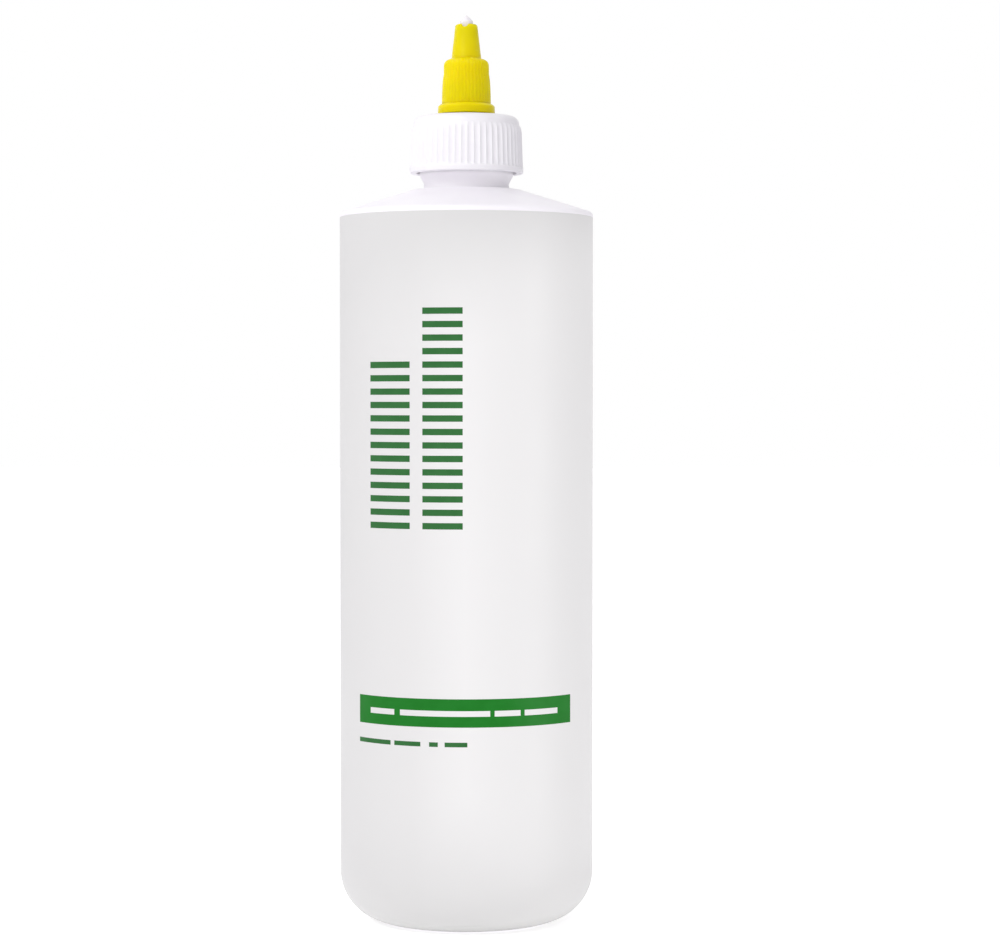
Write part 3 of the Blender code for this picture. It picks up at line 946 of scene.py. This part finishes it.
def make_nozzle():
    """The twist nozzle: ribs that run out as scallops on its shoulder, and a notched orifice."""
    shoulder = arc((2.97, BARREL_TOP - BARREL_ROUND), BARREL_ROUND, 76, 0, 9)
    depths = (0, 0, 0.03, 0.07, 0.1, *[NOZZLE_RIB_DEPTH] * 5)
    rings = [(z, x, x + depth) for (x, z), depth in zip(shoulder, depths) if depth]
    flare = [(169.9, 4.43), (169.2, 4.54), (168.4, 4.65), (167.2, 4.72), (165.5, 4.78), (164.1, 4.81)]
    rings += [(height, radius, radius + NOZZLE_RIB_DEPTH) for height, radius in flare]
    section = rounded(
        [
            (ORIFICE_RADIUS, NOZZLE_TOP, 0.08),
            (2.2, NOZZLE_TOP, 0.5),
            (3.0, BARREL_TOP, 0.3),
            *shoulder,
            *[(radius, height) for height, radius in flare],
            (4.85, 163.95),
            (5.26, 163.8, 0.1),
            (5.7, 163.4, 0.15),
            (FLANGE_RADIUS, NOZZLE_BOTTOM, 0.1),
            (NOZZLE_BORE, NOZZLE_BOTTOM, 0.15),
            (NOZZLE_BORE, 167.7, 0.2),
            (2.4, 167.7, 0.2),
            (2.4, 172.1),
            (1.7, 172.8),
            (1.7, 178.65),
            (ORIFICE_RADIUS, 178.75),
        ]
    )
    nozzle = turned("nozzle_shell", [*section, section[0]], NOZZLE_RIBS * len(NOZZLE_RIB_SHAPE))
    raise_ribs(nozzle, NOZZLE_RIBS, NOZZLE_RIB_SHAPE, rings)
    for turn in (0, math.pi):
        ridge = thread_ridge(
            "nozzle_thread",
            wall=NOZZLE_BORE,
            crest=3.4,
            start=NOZZLE_THREAD_START,
            lead=NOZZLE_LEAD,
            turns=0.24,
            root_width=0.8,
            crest_width=0.4,
            turn=NOZZLE_THREAD_ANGLE + turn,
        )
        combine(nozzle, ridge, "UNION")
    start_fresh()
    bpy.ops.mesh.primitive_cylinder_add(
        vertices=48,
        radius=NOTCH_RADIUS * MM,
        depth=8 * MM,
        location=(0, 0, (NOZZLE_TOP + 0.02) * MM),
        rotation=(math.pi / 2, 0, math.radians(NOTCH_ANGLE)),
    )
    combine(nozzle, bpy.context.object, "DIFFERENCE")
    finish(nozzle, [yellow], "nozzle", "twist_nozzle")


def background_seen(wire):
    """1 where the camera sees the background, directly or in a gloss or through a clear piece."""
    paths = wire.node("LightPath").outputs
    direct = wire.math("MAXIMUM", paths["Is Camera Ray"], paths["Is Glossy Ray"])
    return wire.math("MAXIMUM", direct, paths["Is Transmission Ray"])


def make_stage():
    """A plain pale floor that shows white to the camera and keeps the bottle's shadow."""
    start_fresh()
    bpy.ops.mesh.primitive_plane_add(size=FLOOR_SIZE, location=(0, 0, FLOOR_HEIGHT * MM))
    floor = bpy.context.object
    floor.name = "floor"
    material = bpy.data.materials.new("pale_floor")
    material.use_nodes = True
    wire = Wiring(material.node_tree)
    shader = material.node_tree.nodes["Principled BSDF"]
    shader.inputs["Base Color"].default_value = (0.9, 0.9, 0.9, 1)
    shader.inputs["Roughness"].default_value = 0.9
    strength = wire.ramp(background_seen(wire), 0, 1, FLOOR_GLOW, FLOOR_GLOW_SEEN)
    glow = wire.node("Emission", Color=(1, 1, 1, 1), Strength=strength)
    both = wire.node("AddShader")
    wire.feed(both.inputs[0], shader.outputs[0])
    wire.feed(both.inputs[1], glow.outputs[0])
    wire.feed(material.node_tree.nodes["Material Output"].inputs["Surface"], both.outputs[0])
    floor.data.materials.append(material)


def add_lamp(name, kind, place, target, **settings):
    """A studio lamp that stands at a place and faces a point."""
    start_fresh()
    bpy.ops.object.light_add(type=kind, location=place)
    lamp = bpy.context.object
    lamp.name = name
    for setting, value in settings.items():
        setattr(lamp.data, setting, value)
    way = lamp.location - mathutils.Vector(target)
    lamp.rotation_euler = way.to_track_quat("Z", "Y").to_euler()


def light_the_scene():
    """A soft key from the front left, a low fill on the label's right, and a pale world.

    The world is brighter on the left and above.
    """
    add_lamp(
        "key",
        "AREA",
        place=(-0.5, -0.85, 0.95),
        target=(0, 0, 0.13),
        shape="RECTANGLE",
        size=0.6,
        size_y=0.6,
        energy=6.1,
        color=(1.0, 0.995, 0.98),
    )
    add_lamp(
        "label_fill",
        "SPOT",
        place=(1.0, -0.47, 0.05),
        target=(0, 0, 0.073),
        spot_size=math.radians(8.0),
        spot_blend=0.3,
        shadow_soft_size=0.012,
        energy=11.5,
        color=(1.0, 1.0, 1.0),
    )
    world = bpy.data.worlds.new("pale_world")
    bpy.context.scene.world = world
    world.use_nodes = True
    wire = Wiring(world.node_tree)
    background = world.node_tree.nodes["Background"]
    seen = background_seen(wire)
    wire.feed(background.inputs["Color"], wire.blend(seen, (0.975, 0.96, 1.0, 1), (1, 1, 1, 1)))
    way = wire.node("SeparateXYZ", Vector=wire.node("TexCoord").outputs["Generated"]).outputs
    across = wire.ramp(way[0], -1.0, 1.0, WORLD_LEFT, WORLD_RIGHT)
    from_above = wire.ramp(way[2], 0.0, 1.0, 0.0, WORLD_ABOVE)
    level = wire.math("ADD", across, from_above)
    strength = wire.math("ADD", seen, wire.math("MULTIPLY", wire.math("SUBTRACT", 1.0, seen), level))
    wire.feed(background.inputs["Strength"], strength)


def place_camera():
    """The photograph's view, from a little above the middle of the bottle."""
    start_fresh()
    bpy.ops.object.camera_add(location=(0.00674, -0.600, 0.1046), rotation=(math.radians(88.54), 0, 0))
    camera = bpy.context.object
    camera.data.sensor_width = 36
    camera.data.lens = 107.35
    bpy.context.scene.camera = camera


place_camera()
make_bottle()
make_label()
make_liner()
make_cap()
make_pin()
make_nozzle()
make_stage()
light_the_scene()
bpy.context.scene.view_settings.view_transform = "Standard"
